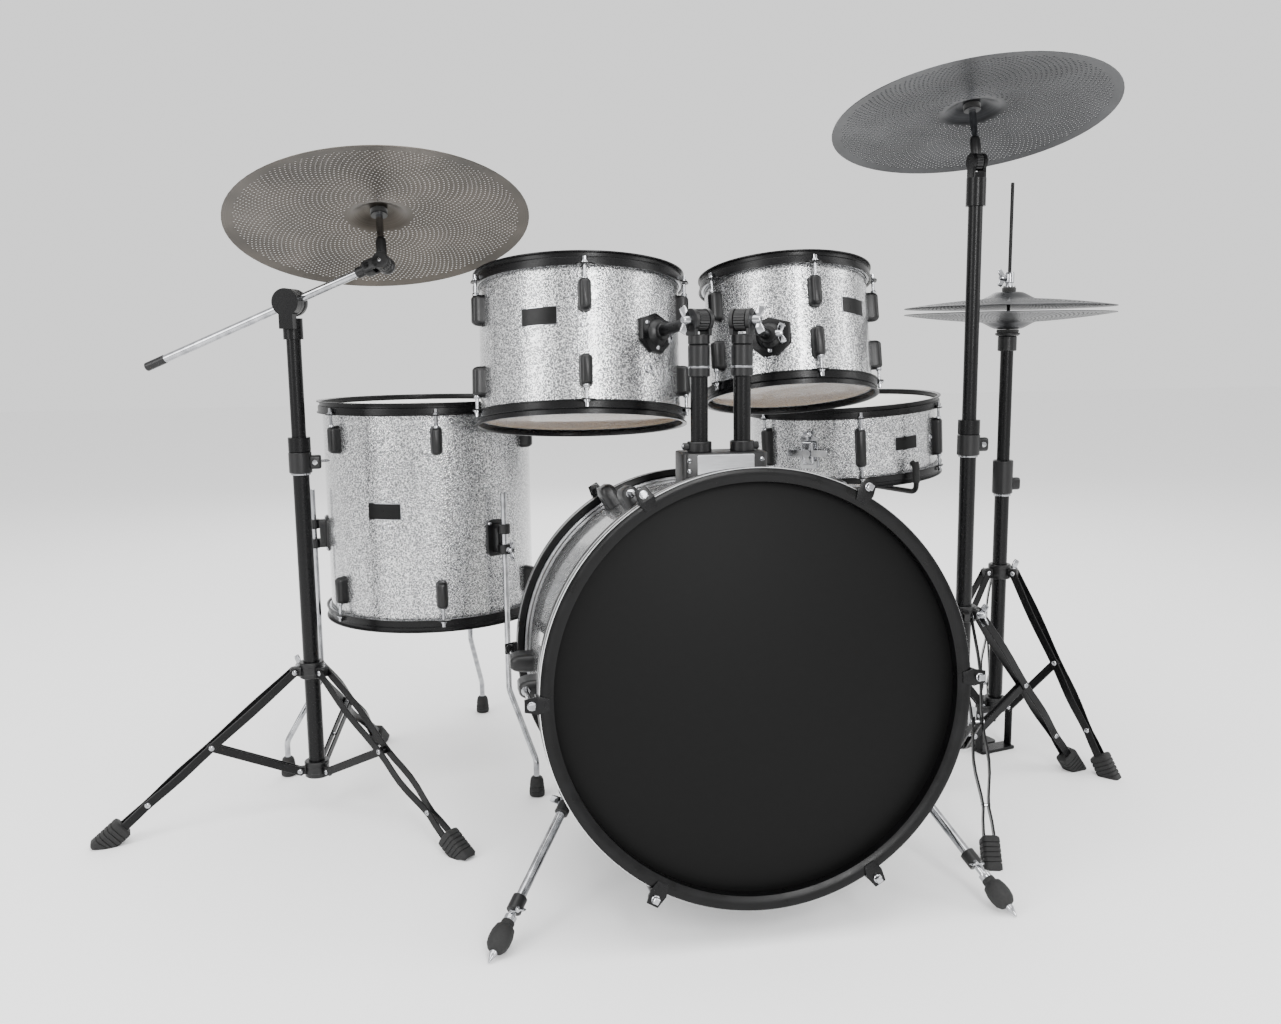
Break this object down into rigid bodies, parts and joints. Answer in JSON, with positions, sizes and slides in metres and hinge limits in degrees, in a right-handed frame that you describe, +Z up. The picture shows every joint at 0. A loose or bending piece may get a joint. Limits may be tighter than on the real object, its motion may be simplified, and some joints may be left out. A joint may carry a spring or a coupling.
{
  "type": "acoustic drum kit",
  "caption": "Five-drum acoustic kit with mounted toms, boom and straight cymbal stands, hi-hat, snare stand and bass pedal, in silver sparkle with black hardware.",
  "frame": {"origin": "middle of the kit's footprint, on the floor", "axes": "+Z up, +Y along the bass drum towards the drummer, +X to the right as the audience sees the kit"},
  "size_m": [1.7146, 1.0496, 1.1408],
  "materials": {
    "silver_sparkle": "silver sparkle wrap under clear gloss",
    "black_head": "matt black polyester film",
    "coated_head": "translucent coated film",
    "gunmetal_cymbal": "perforated, dark grey satin plating",
    "chrome": "polished plating",
    "steel_plate": "cast, satin",
    "black_hardware": "black plated castings",
    "black_paint": "gloss black powder coat"
  },
  "bodies": {
    "stands_and_shells": {"floor_tom_shell": "silver_sparkle", "floor_tom_heads": "coated_head", "floor_tom_hoops": "black_paint", "floor_tom_tension": "black_hardware", "bass_drum_shell": "silver_sparkle", "bass_drum_heads": "black_head", "bass_drum_hoops": "black_paint", "bass_drum_tension": "black_hardware", "bass_drum_fittings": "black_paint", "floor_tom_leg_brackets": "black_paint", "boom_stand_tube": "black_paint", "crash_stand_base": "black_paint", "hihat_stand_base": "black_paint", "snare_stand_base": "black_paint", "kick_pedal_frame": "steel_plate"},
    "spur_left": {"spur_left": "chrome"},
    "tom_post_left": {"tom_post_left": "black_paint"},
    "spur_right": {"spur_right": "chrome"},
    "tom_post_right": {"tom_post_right": "black_paint"},
    "mid_tom": {"mid_tom_shell": "silver_sparkle", "mid_tom_heads": "coated_head", "mid_tom_hoops": "black_paint", "mid_tom_tension": "black_hardware", "mid_tom_arm": "black_paint"},
    "high_tom": {"high_tom_shell": "silver_sparkle", "high_tom_heads": "coated_head", "high_tom_hoops": "black_paint", "high_tom_tension": "black_hardware", "high_tom_arm": "black_paint"},
    "floor_tom_leg_front": {"floor_tom_leg_front": "chrome"},
    "floor_tom_leg_left": {"floor_tom_leg_left": "chrome"},
    "floor_tom_leg_rear": {"floor_tom_leg_rear": "chrome"},
    "boom_leg_collar": {"boom_stand_leg_collar": "black_paint"},
    "boom_leg_1": {"boom_stand_leg_1": "black_paint"},
    "boom_brace_1": {"boom_stand_brace_1": "black_paint"},
    "boom_leg_2": {"boom_stand_leg_2": "black_paint"},
    "boom_brace_2": {"boom_stand_brace_2": "black_paint"},
    "boom_leg_3": {"boom_stand_leg_3": "black_paint"},
    "boom_brace_3": {"boom_stand_brace_3": "black_paint"},
    "boom_upper": {"boom_stand_upper_tube": "black_paint"},
    "boom_arm": {"boom_arm": "black_paint"},
    "boom_tilter": {"boom_tilter": "black_paint"},
    "left_cymbal": {"left_cymbal": "gunmetal_cymbal"},
    "crash_upper": {"crash_stand_upper_tube": "black_paint"},
    "crash_tilter": {"crash_tilter": "black_paint"},
    "crash_cymbal": {"crash_cymbal": "gunmetal_cymbal"},
    "hihat_rod": {"hihat_rod": "chrome", "hihat_top_cymbal": "gunmetal_cymbal"},
    "hihat_footboard": {"hihat_footboard": "steel_plate"},
    "hihat_bottom_cymbal": {"hihat_bottom_cymbal": "gunmetal_cymbal"},
    "snare": {"snare_shell": "silver_sparkle", "snare_heads": "coated_head", "snare_hoops": "black_paint", "snare_tension": "black_hardware", "snare_wires": "chrome", "snare_strainer": "chrome", "snare_basket": "black_paint"},
    "snare_lever": {"snare_lever": "chrome"},
    "kick_footboard": {"kick_pedal_footboard": "steel_plate"},
    "kick_beater": {"kick_pedal_beater": "steel_plate"}
  },
  "joints": [
    {"name": "spur_left_fold", "type": "hinge", "parent": "stands_and_shells", "child": "spur_left", "pos_m": [-0.13976, -0.29966, 0.13348], "axis": [-0.788, 0, -0.6157], "range_deg": [0, 90]},
    {"name": "tom_post_left_height", "type": "slide", "parent": "stands_and_shells", "child": "tom_post_left", "axis": [0, 0, 1], "range_m": [0, 0.055]},
    {"name": "spur_right_fold", "type": "hinge", "parent": "stands_and_shells", "child": "spur_right", "pos_m": [0.31168, -0.29966, 0.16109], "axis": [-0.8572, 0, 0.515], "range_deg": [0, 90]},
    {"name": "tom_post_right_height", "type": "slide", "parent": "stands_and_shells", "child": "tom_post_right", "axis": [0, 0, 1], "range_m": [0, 0.055]},
    {"name": "mid_tom_tilt", "type": "hinge", "parent": "tom_post_left", "child": "mid_tom", "pos_m": [0.04797, -0.26566, 0.7805], "axis": [-0.907, -0.4211, 0], "range_deg": [-12, 3]},
    {"name": "high_tom_tilt", "type": "hinge", "parent": "tom_post_right", "child": "high_tom", "pos_m": [0.10897, -0.26566, 0.7805], "axis": [-0.8185, 0.5746, 0], "range_deg": [-12, 3]},
    {"name": "floor_tom_leg_front_height", "type": "slide", "parent": "stands_and_shells", "child": "floor_tom_leg_front", "axis": [0, 0, 1], "range_m": [0, 0.07]},
    {"name": "floor_tom_leg_left_height", "type": "slide", "parent": "stands_and_shells", "child": "floor_tom_leg_left", "axis": [0, 0, 1], "range_m": [0, 0.07]},
    {"name": "floor_tom_leg_rear_height", "type": "slide", "parent": "stands_and_shells", "child": "floor_tom_leg_rear", "axis": [0, 0, 1], "range_m": [0, 0.07]},
    {"name": "boom_stand_fold", "type": "slide", "parent": "stands_and_shells", "child": "boom_leg_collar", "axis": [0, 0, 1], "range_m": [0, 0.14111]},
    {"name": "boom_leg_1_fold", "type": "hinge", "parent": "boom_leg_collar", "child": "boom_leg_1", "pos_m": [-0.51728, 0.06938, 0.236], "axis": [-0.9659, 0.2588, 0], "range_deg": [0, 41.14]},
    {"name": "boom_brace_1_fold", "type": "hinge", "parent": "stands_and_shells", "child": "boom_brace_1", "pos_m": [-0.51728, 0.06938, 0.07], "axis": [-0.9659, 0.2588, 0], "range_deg": [-52.68, 0]},
    {"name": "boom_leg_2_fold", "type": "hinge", "parent": "boom_leg_collar", "child": "boom_leg_2", "pos_m": [-0.55157, 0.03509, 0.236], "axis": [0.2588, -0.9659, 0], "range_deg": [0, 41.14]},
    {"name": "boom_brace_2_fold", "type": "hinge", "parent": "stands_and_shells", "child": "boom_brace_2", "pos_m": [-0.55157, 0.03509, 0.07], "axis": [0.2588, -0.9659, 0], "range_deg": [-52.68, 0]},
    {"name": "boom_leg_3_fold", "type": "hinge", "parent": "boom_leg_collar", "child": "boom_leg_3", "pos_m": [-0.50473, 0.02254, 0.236], "axis": [0.7071, 0.7071, 0], "range_deg": [0, 41.14]},
    {"name": "boom_brace_3_fold", "type": "hinge", "parent": "stands_and_shells", "child": "boom_brace_3", "pos_m": [-0.50473, 0.02254, 0.07], "axis": [0.7071, 0.7071, 0], "range_deg": [-52.68, 0]},
    {"name": "boom_stand_height", "type": "slide", "parent": "stands_and_shells", "child": "boom_upper", "axis": [0, 0, 1], "range_m": [0, 0.15]},
    {"name": "boom_tilt", "type": "hinge", "parent": "boom_upper", "child": "boom_arm", "pos_m": [-0.52453, 0.04234, 0.819], "axis": [0.2756, 0.9613, 0], "range_deg": [-20, 12]},
    {"name": "boom_cymbal_tilt", "type": "hinge", "parent": "boom_arm", "child": "boom_tilter", "pos_m": [-0.38331, 0.00185, 0.87716], "axis": [-0.3791, -0.8703, 0.3145], "range_deg": [-15, 25]},
    {"name": "left_cymbal_spin", "type": "hinge", "parent": "boom_tilter", "child": "left_cymbal", "pos_m": [-0.38564, 0.02414, 0.93604], "axis": [-0.037, 0.3538, 0.9346], "continuous": true},
    {"name": "crash_stand_height", "type": "slide", "parent": "stands_and_shells", "child": "crash_upper", "axis": [0, 0, 1], "range_m": [0, 0.15]},
    {"name": "crash_cymbal_tilt", "type": "hinge", "parent": "crash_upper", "child": "crash_tilter", "pos_m": [0.52147, -0.11366, 1.02], "axis": [-0.9986, -0.0523, 0], "range_deg": [-30, 30]},
    {"name": "crash_cymbal_spin", "type": "hinge", "parent": "crash_tilter", "child": "crash_cymbal", "pos_m": [0.52066, -0.09809, 1.08619], "axis": [-0.012, 0.2291, 0.9733], "continuous": true},
    {"name": "hihat_pedal", "type": "hinge", "parent": "stands_and_shells", "child": "hihat_footboard", "pos_m": [0.61166, 0.32541, 0.03], "axis": [0.9659, 0.2588, 0], "range_deg": [0, 4], "stiffness_Nm_per_rad": 3, "springref_deg": -28.65},
    {"name": "hihat_close", "type": "slide", "parent": "stands_and_shells", "child": "hihat_rod", "axis": [0, 0, -1], "range_m": [0, 0.009]},
    {"name": "hihat_bottom_spin", "type": "hinge", "parent": "stands_and_shells", "child": "hihat_bottom_cymbal", "pos_m": [0.67947, 0.07234, 0.794], "axis": [0, 0, 1], "continuous": true},
    {"name": "snare_tilt", "type": "hinge", "parent": "stands_and_shells", "child": "snare", "pos_m": [0.48183, 0.33251, 0.42731], "axis": [1, 0, 0], "range_deg": [-12, 12]},
    {"name": "snare_throw_off", "type": "hinge", "parent": "snare", "child": "snare_lever", "pos_m": [0.35334, 0.18441, 0.54896], "axis": [-0.6403, -0.7657, -0.0614], "range_deg": [0, 60]},
    {"name": "kick_pedal", "type": "hinge", "parent": "stands_and_shells", "child": "kick_footboard", "pos_m": [0.07647, 0.21767, 0.03], "axis": [1, 0, 0], "range_deg": [0, 12], "stiffness_Nm_per_rad": 3, "springref_deg": -28.65},
    {"name": "kick_beater_swing", "type": "hinge", "parent": "stands_and_shells", "child": "kick_beater", "pos_m": [0.07647, -0.01733, 0.19], "axis": [1, 0, 0], "range_deg": [0, 45.91]}
  ],
  "couplings": [
    {"joint": "boom_leg_1_fold", "follows": "boom_stand_fold", "rad_per_m": 5.0879},
    {"joint": "boom_brace_1_fold", "follows": "boom_stand_fold", "rad_per_m": -6.5155},
    {"joint": "boom_leg_2_fold", "follows": "boom_stand_fold", "rad_per_m": 5.0879},
    {"joint": "boom_brace_2_fold", "follows": "boom_stand_fold", "rad_per_m": -6.5155},
    {"joint": "boom_leg_3_fold", "follows": "boom_stand_fold", "rad_per_m": 5.0879},
    {"joint": "boom_brace_3_fold", "follows": "boom_stand_fold", "rad_per_m": -6.5155},
    {"joint": "hihat_close", "follows": "hihat_pedal", "m_per_rad": 0.12892},
    {"joint": "kick_beater_swing", "follows": "kick_pedal", "ratio": 3.825}
  ]
}
